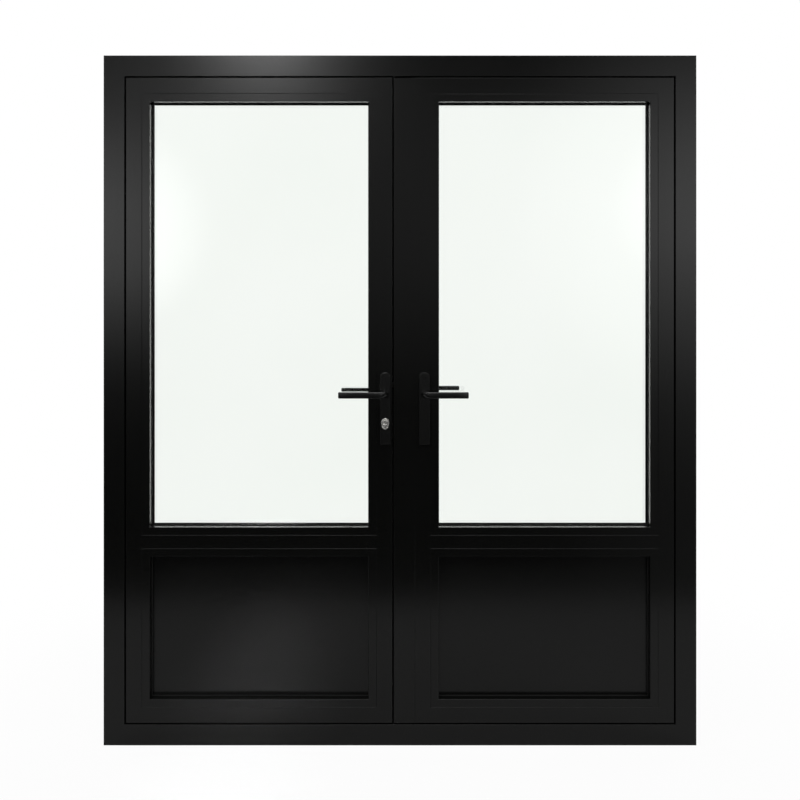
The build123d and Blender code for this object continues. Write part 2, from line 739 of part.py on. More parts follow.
def left_handle_parts():
    """Plates, screws, levers and spindle of the left leaf, and its lock."""
    x = LEFT_HANDLE_X
    heads, ends = PLATE_FACE, -PLATE_FACE + SCREW_BLIND
    plates = {True: handle_plate(x, True), False: handle_plate(x, False)}
    for front in plates:
        plates[front] -= cylinder_prism(cylinder_outline(CYLINDER_FIT), -PLATE_FACE, PLATE_FACE)
        for height in SCREW_HEIGHTS:
            plates[front] -= screw_hole(x, height, heads, ends)
    return {
        "left_front_plate": plates[True],
        "left_rear_plate": plates[False],
        "left_plate_screws": group(screw(x, height, heads, ends) for height in SCREW_HEIGHTS),
        "left_front_lever": lever(x, LEVER_REACH, GRIP_H),
        "left_rear_lever": rear_lever(x, LEVER_REACH),
        "left_spindle": spindle(x),
        "left_lock_follower": follower(x, CASE_T),
        "left_lock_case": lock_case(),
        "left_lock_faceplate": lock_faceplate(),
        "left_lock_cylinder": lock_cylinder(),
        "left_cylinder_plug": cylinder_plug(),
        "left_latch": latch(),
        "left_deadbolt": deadbolt(),
    }


def right_handle_parts():
    """Plates, screws, levers and spindle of the right leaf, and its gearbox."""
    x = RIGHT_HANDLE_X
    heads, ends = -PLATE_FACE, PLATE_FACE - SCREW_BLIND
    plates = {True: handle_plate(x, True), False: handle_plate(x, False)}
    for front in plates:
        for height in SCREW_HEIGHTS:
            plates[front] -= screw_hole(x, height, heads, ends)
    return {
        "right_front_plate": plates[True],
        "right_rear_plate": plates[False],
        "right_plate_screws": group(screw(x, height, heads, ends) for height in SCREW_HEIGHTS),
        "right_front_lever": flipped(lever(-x, LEVER_REACH, GRIP_H)),
        "right_rear_lever": flipped(rear_lever(-x, SHORT_REACH, SHORT_LIFT)),
        "right_spindle": spindle(x),
        "right_gearbox_follower": follower(x, GEARBOX_T),
        "right_gearbox": gearbox(),
        "top_shoot_bolt": shoot_bolt(HANDLE_Z + ROD_FROM_HANDLE, LEAF_TOP - ROD_SINK),
        "bottom_shoot_bolt": shoot_bolt(LEAF_BOTTOM + ROD_SINK, HANDLE_Z - ROD_FROM_HANDLE),
    }


def gearbox():
    """The hollow case in which the handle drives the two shoot bolts."""
    x0 = MULLION_X1 + GEARBOX_EDGE
    x1, half_t, half_h = x0 + GEARBOX_W, GEARBOX_T / 2, GEARBOX_H / 2
    z0, z1 = HANDLE_Z - half_h, HANDLE_Z + half_h
    case = block(x0, x1, -half_t, half_t, z0, z1)
    case -= block(
        x0 + CASE_WALL,
        x1 - CASE_WALL,
        CASE_WALL - half_t,
        half_t - CASE_WALL,
        z0 + CASE_WALL,
        z1 - CASE_WALL,
    )
    case -= rod_y(RIGHT_HANDLE_X, HANDLE_Z, FOLLOWER_R + FOLLOWER_FIT, -half_t, half_t)
    return case - rod_z(ROD_X, ROD_Y, ROD_R + ROD_FIT, z0, z1)


def shoot_bolt(z0, z1):
    """A shoot bolt with its drive rod in one piece."""
    rod = rod_z(ROD_X, ROD_Y, ROD_R, z0, z1)
    return chamfer(rod.edges().filter_by(GeomType.CIRCLE), ROD_SINK)


def false_mullion():
    """The mullion on the right leaf's edge, which fills the middle of the doorway."""
    x0, x1 = MULLION_X0, MULLION_X1
    outline = [(x0, FRONT), (x1, FRONT), (x1, REAR), (x0, REAR)]
    chambers = mullion_chambers()
    mullion = extrude(section(outline, chambers), amount=LEAF_TOP - LEAF_BOTTOM)
    mullion = Pos(0, 0, LEAF_BOTTOM) * mullion
    for z0, z1 in ((LEAF_BOTTOM, LEAF_BOTTOM + STOP), (LEAF_TOP - STOP, LEAF_TOP)):
        mullion -= block(x0, x1, FRONT, FLANGE_FRONT, z0, z1)
    half = FACEPLATE_W / 2 + FACEPLATE_FIT
    strike_x = x0 + FACEPLATE_T + FACEPLATE_FIT
    z0, z1 = STRIKE_BOTTOM - FACEPLATE_FIT, STRIKE_TOP + FACEPLATE_FIT
    mullion -= block(x0, strike_x, -half, half, z0, z1)
    return mullion - deadbolt_pocket()


def mullion_chambers():
    """The mullion's two chambers, as (x0, y0, x1, y1)."""
    x0, x1 = MULLION_X0 + WALL, MULLION_X1 - WALL
    return [(x0, FRONT + WALL, x1, FLANGE_FRONT), (x0, FLANGE_FRONT + WALL, x1, REAR - WALL)]


def mullion_caps():
    """Plugs that close the mullion's chambers at both ends."""
    caps = []
    for (x0, y0, x1, y1), step in zip(mullion_chambers(), (STOP, 0)):
        low, high = LEAF_BOTTOM + step, LEAF_TOP - step
        for z0, z1 in ((low, low + CAP_L), (high - CAP_L, high)):
            caps.append(block(x0 + CAP_FIT, x1 - CAP_FIT, y0 + CAP_FIT, y1 - CAP_FIT, z0, z1))
    return group(caps)


def deadbolt_pocket():
    """The room behind the strike plate that the thrown deadbolt fills."""
    half_w, half_h = DEADBOLT_T / 2 + STRIKE_CLEAR, DEADBOLT_H / 2 + STRIKE_CLEAR
    x1 = MULLION_X0 + POCKET_D
    return block(MULLION_X0, x1, -half_w, half_w, DEADBOLT_Z - half_h, DEADBOLT_Z + half_h)


def strike_plate():
    """The strike plate, with the deadbolt's window and a hollow for the latch."""
    half = FACEPLATE_W / 2
    plate = block(MULLION_X0, MULLION_X0 + FACEPLATE_T, -half, half, STRIKE_BOTTOM, STRIKE_TOP)
    hollow_x = MULLION_X0 - LATCH_R + FACEPLATE_T / 2
    hollow = rod_z(hollow_x, 0, LATCH_R, LATCH_Z - LATCH_H / 2, LATCH_Z + LATCH_H / 2)
    return plate - deadbolt_pocket() - hollow


def mullion_parts():
    """The mullion with its caps, seal and strike plate."""
    y0, y1 = MULLION_SEAL_Y - MEETING_SEAL_W / 2, MULLION_SEAL_Y + MEETING_SEAL_W / 2
    z0, z1 = LEAF_BOTTOM + STOP, LEAF_TOP - STOP
    return {
        "false_mullion": false_mullion(),
        "false_mullion_caps": mullion_caps(),
        "mullion_seal": block(MULLION_X0 - MULLION_SEAL_PROUD, MULLION_X0, y0, y1, z0, z1),
        "strike_plate": strike_plate(),
    }


def left_leaf():
    """Every piece of the left leaf that doesn't move on it."""
    frame = leaf_frame(MEETING_LEFT)
    stile = drill_stile(frame["meeting_stile"], LEFT_HANDLE_X)
    stile -= cylinder_prism(cylinder_outline(WALL_HOLE_CLEAR / 2), FRONT, REAR)
    half = FACEPLATE_W / 2 + FACEPLATE_FIT
    z0, z1 = FACEPLATE_BOTTOM - FACEPLATE_FIT, FACEPLATE_TOP + FACEPLATE_FIT
    stile -= block(CASE_X1, MEETING_LEFT, -half, half, z0, z1)
    y0, y1 = LEFT_SEAL_Y - MEETING_SEAL_W / 2, LEFT_SEAL_Y + MEETING_SEAL_W / 2
    z0, z1 = LEAF_BOTTOM + STOP, LEAF_TOP - STOP
    parts = {
        "left_hinge_stile": frame["hinge_stile"],
        "left_lock_stile": stile,
        "left_top_rail": frame["top_rail"],
        "left_mid_rail": frame["mid_rail"],
        "left_bottom_rail": frame["bottom_rail"],
        "left_meeting_seal": block(MEETING_LEFT, MEETING_LEFT + LEFT_SEAL_PROUD, y0, y1, z0, z1),
    }
    for name, piece in leaf_infill(MEETING_LEFT).items():
        parts["left_" + name] = piece
    return parts


def right_leaf():
    """Every piece of the right leaf that doesn't move on it, but for the mullion."""
    frame = {name: flipped(piece) for name, piece in leaf_frame(-MULLION_X1).items()}
    frame["meeting_stile"] = drill_stile(frame["meeting_stile"], RIGHT_HANDLE_X)
    for rail, z in (("top_rail", LEAF_TOP), ("bottom_rail", LEAF_BOTTOM)):
        frame[rail] -= rod_z(ROD_X, ROD_Y, ROD_R + ROD_FIT, z - 2 * WALL, z + 2 * WALL)
    parts = {"right_" + name: piece for name, piece in frame.items()}
    for name, piece in leaf_infill(-MULLION_X1).items():
        parts["right_" + name] = flipped(piece)
    return parts


def main():
    """Writes one STEP file for each node."""
    os.makedirs("parts", exist_ok=True)
    parts = {}
    for make in (
        frame_parts,
        hinge_parts,
        left_leaf,
        left_handle_parts,
        right_leaf,
        mullion_parts,
        right_handle_parts,
    ):
        parts.update(make())
    for name, piece in parts.items():
        export_step(piece, f"parts/{name}.step")


main()
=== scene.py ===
import json
import math

import bpy
import bmesh
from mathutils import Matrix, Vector


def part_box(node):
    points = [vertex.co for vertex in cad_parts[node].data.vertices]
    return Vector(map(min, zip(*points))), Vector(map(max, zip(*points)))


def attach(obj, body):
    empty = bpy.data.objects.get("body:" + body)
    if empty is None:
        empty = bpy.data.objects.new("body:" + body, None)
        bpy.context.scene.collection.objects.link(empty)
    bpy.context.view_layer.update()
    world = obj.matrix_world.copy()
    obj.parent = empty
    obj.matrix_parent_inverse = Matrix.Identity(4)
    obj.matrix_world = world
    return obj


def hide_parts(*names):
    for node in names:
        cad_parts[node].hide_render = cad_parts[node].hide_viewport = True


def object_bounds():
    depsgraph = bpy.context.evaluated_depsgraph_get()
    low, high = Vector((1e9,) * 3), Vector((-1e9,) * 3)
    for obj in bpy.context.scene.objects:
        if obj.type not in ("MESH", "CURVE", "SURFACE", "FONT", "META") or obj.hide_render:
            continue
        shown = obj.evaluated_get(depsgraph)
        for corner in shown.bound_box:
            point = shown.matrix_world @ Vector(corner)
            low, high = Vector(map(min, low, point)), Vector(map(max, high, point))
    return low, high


# The doors as packed, closed: metres, +X right, +Y to the inside, +Z up
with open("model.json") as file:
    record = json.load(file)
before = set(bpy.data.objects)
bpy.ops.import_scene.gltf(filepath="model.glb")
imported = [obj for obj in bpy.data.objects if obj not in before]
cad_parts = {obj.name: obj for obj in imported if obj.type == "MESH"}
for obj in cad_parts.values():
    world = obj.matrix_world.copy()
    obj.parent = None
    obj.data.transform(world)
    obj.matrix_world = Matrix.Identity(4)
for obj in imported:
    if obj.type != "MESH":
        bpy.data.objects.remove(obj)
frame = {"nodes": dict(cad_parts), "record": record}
CAD_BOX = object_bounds()
NODES = frame["nodes"]
RECORD = frame["record"]

# Sizes of the frame that the camera and the lamps are placed by
HEIGHT = CAD_BOX[1][2] - CAD_BOX[0][2]
FRONT_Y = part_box("frame_head")[0].y

# Camera: level and square on to the doors, as in the photograph
CAMERA_DISTANCE = 2.9
CAMERA_Z = 1.367
PICTURE_WIDTH = 2.429
SENSOR = 36.0
PICTURE_MIDDLE_Z = 1.0488
CLIP_START = 0.05

# Sockets known by number: of Light Path, Texture Coordinate, Mix, Vector Math and Separate XYZ
PATH_TRANSMISSION, PATH_GLOSSY = 6, 3
OBJECT_PLACE = 3
MIX_FACTOR, MIX_FIRST, MIX_SECOND, MIX_COLOUR = 0, 6, 7, 2
VECTOR_NUMBER = 1
UPWARD_PART = 2

# Directions of the doors, and the angle from which an edge stays sharp
RIGHT, UP = (1, 0, 0), (0, 0, 1)
SHARP_ANGLE = math.radians(40)

# The white ground, and the pale floor that ends before the doors
WHITE = (1.0, 1.0, 1.0, 1.0)
FLOOR_WIDTH = 24.0
FLOOR_FRONT = -1.4
FLOOR_REAR = 12.0
FLOOR_PAPER = (0.48, 0.48, 0.48, 1.0)
FLOOR_SINK = 0.0005

# How the floor turns white: metres from the middle of the doors, and shares of white there
FADE_START, FADE_END = 0.9, 2.2
FADE_FIRST, FADE_LAST = 0.95, 1.0

# Levels of the studio: the room before the doors, its wall between four heights, the backdrop behind
ROOM_LEVEL = 0.01
WALL_LEVEL = 0.38
WALL_FOOT, WALL_FULL = -0.11, 0.05
WALL_TOP, WALL_END = 0.175, 0.225
BACKDROP_LIGHT = 0.45
BACKDROP_RIGHT, BACKDROP_UP, BACKDROP_REACH = 180, 6, 95

# Soft lights before the doors: degrees to the right and up, reach in degrees, level.
# Where two overlap, the later one covers the earlier one
SOFT_LIGHTS = (
    (0, 66, 42, 2.6),
    (0, 70, 16, 8.0),
    (-17, 7.5, 9.5, 0.75),
    (26, -10, 18, 0.22),
    (18.5, 5, 12.5, 1.65),
    (18, 5.2, 6, 3.5),
    (-17.5, 4, 6.8, 3.8),
    (-8.1, 15.5, 3.2, 27.0),
)

# A pool of light on the floor, to the left before the doors
POOL_PLACE, POOL_AIM = (-0.5, -0.68, 2.8), (-0.5, -0.6799, 0.0)
POOL_SIZE, POOL_WATTS, POOL_SPREAD = (0.08, 1.1), 1.5, 13

# The four high lamps: how far to the side, before or behind, and up
LAMP_SIDE, LAMP_BACK, LAMP_UP = 4.0, 2.6, 3.8
LAMP_SIZE, LAMP_WATTS = (1.8, 1.8), 62

# Outlines of rings: how many points, and how square, where 2 is an ellipse
RING_POINTS = 40
ROUND, BEND_SQUARE, GRIP_SQUARE = 2.0, 4.0, 5.0

# Where the levers turn: x on each leaf, and height
LEFT_HUB, RIGHT_HUB = -0.045, 0.074
HANDLE_Z = 1.0705

# A lever's neck, as (distance from the doors' middle plane, half width, half height)
LEVER_MIDDLE = 0.084
NECK = (
    (0.0362, 0.0108, 0.0108),
    (0.0410, 0.0108, 0.0108),
    (0.0413, 0.0110, 0.0110),
    (0.0446, 0.0110, 0.0110),
    (0.0454, 0.0103, 0.0106),
    (0.0540, 0.0099, 0.0107),
    (0.0630, 0.0090, 0.0107),
)
NECK_HALF, NECK_TALL = 0.0082, 0.0106

# Its bend, its grip as (distance from the hub, how square), and its soft tip in degrees of turn
BEND_R, BEND_STEPS = 0.016, 9
GRIP_HALF = 0.00595
GRIP = ((0.03, 4.4), (0.05, GRIP_SQUARE), (0.09, GRIP_SQUARE))
TIP_R, TIP_TURNS = 0.003, (25, 50, 70, 85)

# Name, node it stands for, body, hub's x, side, front or rear, reach, half height, how far it drops
LEVERS = (
    ("left_front_grip", "left_front_lever", "left_lever_set", LEFT_HUB, -1, -1, 0.1395, 0.0095, 0.0022),
    ("left_rear_grip", "left_rear_lever", "left_lever_set", LEFT_HUB, -1, 1, 0.1400, 0.0058, 0.0018),
    ("right_front_grip", "right_front_lever", "right_lever_set", RIGHT_HUB, 1, -1, 0.1310, 0.0095, 0.0022),
    ("right_rear_grip", "right_rear_lever", "right_lever_set", RIGHT_HUB, 1, 1, 0.1125, 0.0068, -0.0038),
)

# Screws of the handle plates: name, node, body, x, side of the head
PLATE_SCREWS = (
    ("left_screws", "left_plate_screws", "left_leaf", LEFT_HUB, 1),
    ("right_screws", "right_plate_screws", "right_leaf", RIGHT_HUB, -1),
)
PLATE_SCREW_HEIGHTS = (0.931, 1.117)

# Their tips as (distance from the end, radius), their heads as (depth from the face, radius, sides)
SCREW_TIP = ((0.0, 0.0020), (0.0006, 0.00248))
SCREW_HEAD = (
    (0.00248, 0.00248, 0), (0.00245, 0.0044, 0), (0.0006, 0.0044, 0), (0.0, 0.0038, 0),
    (0.0, 0.0024, 6), (0.0016, 0.0023, 6),
)

# Screws of the hinge plates: two in each plate, on its middle line, low heads as (out, radius, sides)
HINGE_HEIGHTS = (0.280, 1.050, 1.820)
HINGE_SCREW_STEP = 0.040
HINGE_FACE_Y = 0.040
LOW_HEAD = (
    (0.00005, 0.0048, 0), (0.0006, 0.0047, 0), (0.0012, 0.0039, 0), (0.0014, 0.0023, 6),
    (0.0003, 0.0021, 6),
)
HINGE_SCREWS = (
    ("frame_hinge_screws", "frame", (-0.8815, 0.8815)),
    ("left_hinge_screws", "left_leaf", (-0.8315,)),
    ("right_hinge_screws", "right_leaf", (0.8315,)),
)

# The lock's face: collar outline as in the CAD, then its rims as (inset or radius, y)
LOCK_X, LOCK_Z = LEFT_HUB, 0.982
COLLAR_R, COLLAR_TAIL_R, COLLAR_DROP = 0.012, 0.0095, 0.011
COLLAR_RIM = (
    (0.0, -0.0411), (0.0, -0.0426), (0.0003, -0.0434), (0.0009, -0.0438),
    (0.0016, -0.0436), (0.0021, -0.0431), (0.0023, -0.0428),
)
PLUG_RIM = (
    (0.0061, -0.0438), (0.0062, -0.0445), (0.0067, -0.0449), (0.0073, -0.0447), (0.0078, -0.0438),
)

# Rounded edges of the lock's CAD nodes, as (node, width, segments)
SOFT_EDGES = (("left_lock_cylinder", 0.0006, 3), ("left_cylinder_plug", 0.0003, 2))

# The meeting seal's lip: millimetres away from the leaf's edge, and across from its middle
MM = 0.001
LIP_END = 0.001
SEAL_EDGE_X, SEAL_Y, SEAL_SIDE = -0.0235, 0.017, 0.00295
LEAF_LOW, LEAF_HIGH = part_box("left_hinge_stile")[0].z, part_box("left_hinge_stile")[1].z
SEAL_LIP = (
    (0.0, -2.95), (1.2, -2.9), (2.9, -2.1), (4.0, -1.0), (4.5, 0.3), (4.3, 1.2),
    (3.7, 0.9), (2.9, -0.3), (1.6, -0.9), (1.4, 1.6), (0.6, 2.6), (0.0, 2.95),
)


class Value:
    """A shader socket on which Python's operators add Math nodes."""

    def __init__(self, tree, socket):
        self.tree, self.socket = tree, socket

    def maths(self, operation, first, second):
        return self.tree.add("ShaderNodeMath", {"operation": operation}, {0: first, 1: second})

    def __add__(self, other):
        return self.maths("ADD", self, other)

    def __radd__(self, other):
        return self.maths("ADD", other, self)

    def __sub__(self, other):
        return self.maths("SUBTRACT", self, other)

    def __rsub__(self, other):
        return self.maths("SUBTRACT", other, self)

    def __mul__(self, other):
        return self.maths("MULTIPLY", self, other)

    def __rmul__(self, other):
        return self.maths("MULTIPLY", other, self)


class Shader:
    """A material or world tree with one method that makes any node."""

    def __init__(self, owner):
        owner.use_nodes = True
        self.nodes, self.links = owner.node_tree.nodes, owner.node_tree.links
        self.nodes.clear()

    def add(self, kind, settings=None, inputs=None, output=0):
        node = self.nodes.new(kind)
        for name, value in (settings or {}).items():
            setattr(node, name, value)
        for name, value in (inputs or {}).items():
            if isinstance(value, Value):
                self.links.new(value.socket, node.inputs[name])
            else:
                node.inputs[name].default_value = value
        return Value(self, node.outputs[output])

    def finish(self, kind, surface):
        out = self.nodes.new(kind)
        self.links.new(surface.socket, out.inputs["Surface"])


def noise(tree, place, scale, detail=2.0, rough=0.5):
    """Noise from 0 to 1 with features of about 1/scale metres."""
    return tree.add(
        "ShaderNodeTexNoise",
        {"noise_dimensions": "3D"},
        {"Vector": place, "Scale": scale, "Detail": detail, "Roughness": rough},
    )


def material(name):
    made = bpy.data.materials.new(name)
    tree = Shader(made)
    place = tree.add("ShaderNodeTexCoord", output=OBJECT_PLACE)
    return made, tree, place


def between(tree, share, first, second):
    """A colour that goes from first to second as share goes from 0 to 1."""
    return tree.add(
        "ShaderNodeMix",
        {"data_type": "RGBA"},
        {MIX_FACTOR: share, MIX_FIRST: first + (1.0,), MIX_SECOND: second + (1.0,)},
        output=MIX_COLOUR,
    )


def relief(tree, height, depth, strength=1.0):
    """A bump of the given height pattern, depth metres deep."""
    return tree.add("ShaderNodeBump", {}, {"Strength": strength, "Distance": depth, "Height": height})


def surfaced(made, tree, inputs):
    """Gives a material its surface."""
    tree.finish("ShaderNodeOutputMaterial", tree.add("ShaderNodeBsdfPrincipled", {}, inputs))
    return made


def coat(name, colour, roughness, peel_depth, gleam=0.25):
    """Powder coat on metal: a fine orange peel and a cloudy gloss."""
    made, tree, place = material(name)
    cloud = noise(tree, place, 3.0, detail=4.0)
    patch = noise(tree, place, 38.0, detail=3.0)
    peel = noise(tree, place, 900.0, detail=1.0)
    fine = noise(tree, place, 3200.0, detail=1.0)
    darker = tuple(0.8 * part for part in colour)
    paler = tuple(1.25 * part for part in colour)
    return surfaced(made, tree, {
        "Base Color": between(tree, cloud, darker, paler),
        "Roughness": roughness - 0.03 + cloud * 0.04 + patch * 0.006,
        "Normal": relief(tree, peel + fine * 0.4, peel_depth),
        "Specular IOR Level": gleam,
    })


def rubber():
    """Black rubber with a matt, slightly dusty skin."""
    made, tree, place = material("black_rubber")
    cloud = noise(tree, place, 60.0, detail=4.0)
    pores = noise(tree, place, 2500.0)
    return surfaced(made, tree, {
        "Base Color": between(tree, cloud, (0.003, 0.003, 0.003), (0.007, 0.007, 0.0065)),
        "Roughness": 0.62 + 0.2 * cloud,
        "Normal": relief(tree, pores, 0.00008),
        "Specular IOR Level": 0.25,
    })


def metal(name, dark, pale, roughness, stretch):
    """Bare or plated metal, brushed along the axis that stretch squeezes least."""
    made, tree, place = material(name)
    mapped = tree.add("ShaderNodeMapping", {}, {"Vector": place, "Scale": stretch})
    lines = noise(tree, mapped, 900.0, detail=3.0)
    cloud = noise(tree, place, 90.0, detail=3.0)
    return surfaced(made, tree, {
        "Base Color": between(tree, lines, dark, pale),
        "Metallic": 1.0,
        "Roughness": roughness + 0.12 * cloud + 0.08 * lines,
        "Normal": relief(tree, lines, 0.00002),
    })


def glass():
    """Float glass, faintly green, with a trace of roller wave. Its paler and darker cloudy patches are
    painted light, standing in for the uneven brightness seen through it.
    """
    made, tree, place = material("float_glass")
    cloud = noise(tree, place, 1.6, detail=2.0)
    return surfaced(made, tree, {
        # Painted light: the faint green is the glass's own tint, but the cloudy paler and darker patches are
        # painted brightness of what is seen through the glass
        "Base Color": between(tree, cloud, (0.945, 0.968, 0.944), (0.972, 0.985, 0.97)),
        "Roughness": 0.0,
        "IOR": 1.45,
        "Specular IOR Level": 0.04,
        "Transmission Weight": 1.0,
        "Normal": relief(tree, cloud, 0.00001, strength=0.3),
    })


BLACK, DARK_GREY = (0.0022, 0.0023, 0.0021), (0.05, 0.05, 0.05)
PEEL_DEPTH, SPACER_PEEL_DEPTH = 0.000004, 0.00002
MATERIALS = {
    "profile_black": coat("profile_coat", BLACK, 0.19, PEEL_DEPTH),
    "hardware_black": coat("hardware_coat", BLACK, 0.24, PEEL_DEPTH, gleam=0.36),
    "panel_black": coat("panel_coat", BLACK, 0.2, PEEL_DEPTH),
    "glass": glass(),
    "spacer": coat("spacer_coat", DARK_GREY, 0.5, SPACER_PEEL_DEPTH),
    "rubber": rubber(),
    "steel": metal("zinc_steel", (0.42, 0.42, 0.41), (0.6, 0.6, 0.58), 0.26, (1.0, 1.0, 0.08)),
    "nickel": metal("satin_nickel", (0.66, 0.65, 0.62), (0.82, 0.81, 0.78), 0.16, (1.0, 1.0, 1.0)),
}


def dress_nodes():
    """Gives each CAD node the material of its slot."""
    for row in RECORD["subparts"]:
        mesh = NODES[row["node"]].data
        mesh.materials.clear()
        mesh.materials.append(MATERIALS[row["material_slot"]])


def link(name, data):
    """Puts a new object with its mesh, lamp or camera into the scene."""
    made = bpy.data.objects.new(name, data)
    bpy.context.scene.collection.objects.link(made)
    return made


def piece(name, mesh, body, slot, nodes):
    """Finishes a new piece, which rides on body and stands for the CAD nodes."""
    bmesh.ops.recalc_face_normals(mesh, faces=mesh.faces)
    data = bpy.data.meshes.new(name)
    mesh.to_mesh(data)
    mesh.free()
    made = link(name, data)
    data.materials.append(MATERIALS[slot])
    for face in data.polygons:
        face.use_smooth = True
    data.set_sharp_from_angle(angle=SHARP_ANGLE)
    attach(made, body)
    if nodes:
        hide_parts(*nodes)
    return made


def edges_of(made):
    """The edges of a circle that bmesh has just made."""
    return list({edge for vert in made["verts"] for edge in vert.link_edges})


def ring(mesh, centre, across, upright, half_width, half_height, square=ROUND, sides=0):
    """A closed loop of edges round centre: an ellipse, a softened rectangle or, with sides, a polygon."""
    made = bmesh.ops.create_circle(mesh, cap_ends=False, segments=RING_POINTS, radius=1.0)
    power = 2.0 / square
    for vert in made["verts"]:
        u = math.copysign(abs(vert.co.x) ** power, vert.co.x)
        v = math.copysign(abs(vert.co.y) ** power, vert.co.y)
        if sides:
            part = math.tau / sides
            off = math.atan2(v, u) % part - part / 2
            u, v = u * math.cos(part / 2) / math.cos(off), v * math.cos(part / 2) / math.cos(off)
        vert.co = Vector(centre) + Vector(across) * (u * half_width) + Vector(upright) * (v * half_height)
    return edges_of(made)


def join(mesh, loops):
    """Joins loops of edges one to the next."""
    for first, second in zip(loops, loops[1:]):
        bmesh.ops.bridge_loops(mesh, edges=first + second)


def skin(mesh, loops):
    """Joins loops of edges one to the next, and closes both ends."""
    join(mesh, loops)
    bmesh.ops.edgeloop_fill(mesh, edges=loops[0])
    bmesh.ops.edgeloop_fill(mesh, edges=loops[-1])


def lever(name, node, body, hub, side, front, reach, half_height, drop):
    """A lever handle: round neck out of its plate, a bend, and a flat grip with a soft tip."""
    mesh = bmesh.new()
    loops = []
    for out, half_width, tall in NECK:
        centre = (hub, front * out, HANDLE_Z)
        loops.append(ring(mesh, centre, (side, 0, 0), UP, half_width, tall))
    for step in range(BEND_STEPS + 1):
        part = step / BEND_STEPS
        turn = part * math.pi / 2
        away = BEND_R * (1 - math.cos(turn))
        out = LEVER_MIDDLE - BEND_R * (1 - math.sin(turn))
        centre = (hub + side * away, front * out, HANDLE_Z - drop * part * part)
        across = (side * math.cos(turn), -front * math.sin(turn), 0)
        half_width = NECK_HALF + (GRIP_HALF - NECK_HALF) * part
        tall = NECK_TALL + (half_height - NECK_TALL) * part
        square = ROUND + (BEND_SQUARE - ROUND) * part * part
        loops.append(ring(mesh, centre, across, UP, half_width, tall, square))
    flat = (0, -front, 0)
    low = HANDLE_Z - drop
    for along, square in GRIP + ((reach - TIP_R, GRIP_SQUARE),):
        centre = (hub + side * along, front * LEVER_MIDDLE, low)
        loops.append(ring(mesh, centre, flat, UP, GRIP_HALF, half_height, square))
    for turn in map(math.radians, TIP_TURNS):
        along = reach - TIP_R * (1 - math.sin(turn))
        less = TIP_R * (1 - math.cos(turn))
        centre = (hub + side * along, front * LEVER_MIDDLE, low)
        loops.append(ring(mesh, centre, flat, UP, GRIP_HALF - less, half_height - less, GRIP_SQUARE))
    skin(mesh, loops)
    piece(name, mesh, body, "hardware_black", (node,))


def screw(mesh, x, z, rows):
    """One screw along y, as rows of (y, radius, sides)."""
    skin(mesh, [ring(mesh, (x, y, z), RIGHT, UP, radius, radius, ROUND, sides) for y, radius, sides in rows])


def plate_screws(name, node, body, x, facing):
    """The two screws that pull the plates together, with hexagon sockets in their heads."""
    low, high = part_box(node)
    face, tip = (high.y, low.y) if facing > 0 else (low.y, high.y)
    rows = [(tip + facing * along, radius, 0) for along, radius in SCREW_TIP]
    rows += [(face - facing * depth, radius, sides) for depth, radius, sides in SCREW_HEAD]
    mesh = bmesh.new()
    for z in PLATE_SCREW_HEIGHTS:
        screw(mesh, x, z, rows)
    piece(name, mesh, body, "hardware_black", (node,))


def hinge_screws(name, body, places):
    """Low-headed screws on the hinge plates, on the room's side of the doors."""
    rows = [(HINGE_FACE_Y + out, radius, sides) for out, radius, sides in LOW_HEAD]
    mesh = bmesh.new()
    for x in places:
        for height in HINGE_HEIGHTS:
            for step in (-HINGE_SCREW_STEP, HINGE_SCREW_STEP):
                screw(mesh, x, height + step, rows)
    piece(name, mesh, body, "hardware_black", ())


def meeting_seal():
    """The rubber seal on the left leaf's meeting edge, with a soft lip that closes the gap."""
    low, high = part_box("left_meeting_seal")
    mesh = bmesh.new()
    foot = low.x - SEAL_EDGE_X
    root = ((foot, -SEAL_SIDE), (0, -SEAL_SIDE), (0, SEAL_SIDE), (foot, SEAL_SIDE))
    lip = [(MM * out, MM * across) for out, across in SEAL_LIP]
    for outline, z0, z1 in ((root, low.z, high.z), (lip, LEAF_LOW + LIP_END, LEAF_HIGH - LIP_END)):
        corners = [mesh.verts.new((SEAL_EDGE_X + out, SEAL_Y + across, z0)) for out, across in outline]
        end = bmesh.ops.contextual_create(mesh, geom=corners)["faces"]
        made = bmesh.ops.extrude_face_region(mesh, geom=end)
        raised = [part for part in made["geom"] if isinstance(part, bmesh.types.BMVert)]
        bmesh.ops.translate(mesh, vec=(0, 0, z1 - z0), verts=raised)
    piece("meeting_lip", mesh, "left_leaf", "rubber", ("left_meeting_seal",))


def soften(node, width, segments):
    """Rounds the sharp edges of a CAD node a little."""
    rounding = NODES[node].modifiers.new("rounding", "BEVEL")
    rounding.width, rounding.segments = width, segments
    rounding.limit_method, rounding.angle_limit = "ANGLE", SHARP_ANGLE
    rounding.harden_normals = True


def collar_loop(mesh, inset, y):
    """A closed loop of edges along the lock collar's outline, moved inwards by inset."""
    made = bmesh.ops.create_circle(mesh, cap_ends=False, segments=2 * RING_POINTS, radius=1.0)
    lean = math.asin((COLLAR_R - COLLAR_TAIL_R) / COLLAR_DROP)
    for vert in made["verts"]:
        upper = vert.co.y > -math.sin(lean)
        radius = (COLLAR_R if upper else COLLAR_TAIL_R) - inset
        z = LOCK_Z if upper else LOCK_Z - COLLAR_DROP
        vert.co = Vector((LOCK_X + vert.co.x * radius, y, z + vert.co.y * radius))
    return edges_of(made)


def lock_rims():
    """The collar's rounded rim, and the turned rim round the plug on the cylinder's face."""
    mesh = bmesh.new()
    join(mesh, [collar_loop(mesh, inset, y) for inset, y in COLLAR_RIM])
    join(mesh, [ring(mesh, (LOCK_X, y, LOCK_Z), RIGHT, UP, radius, radius) for radius, y in PLUG_RIM])
    piece("lock_rims", mesh, "left_leaf", "nickel", ())


def smooth_step(tree, value, low, high, first=0.0, last=1.0):
    """Goes softly from first to last as value goes from low to high."""
    return tree.add(
        "ShaderNodeMapRange",
        {"interpolation_type": "SMOOTHSTEP"},
        {0: value, 1: low, 2: high, 3: first, 4: last},
    )


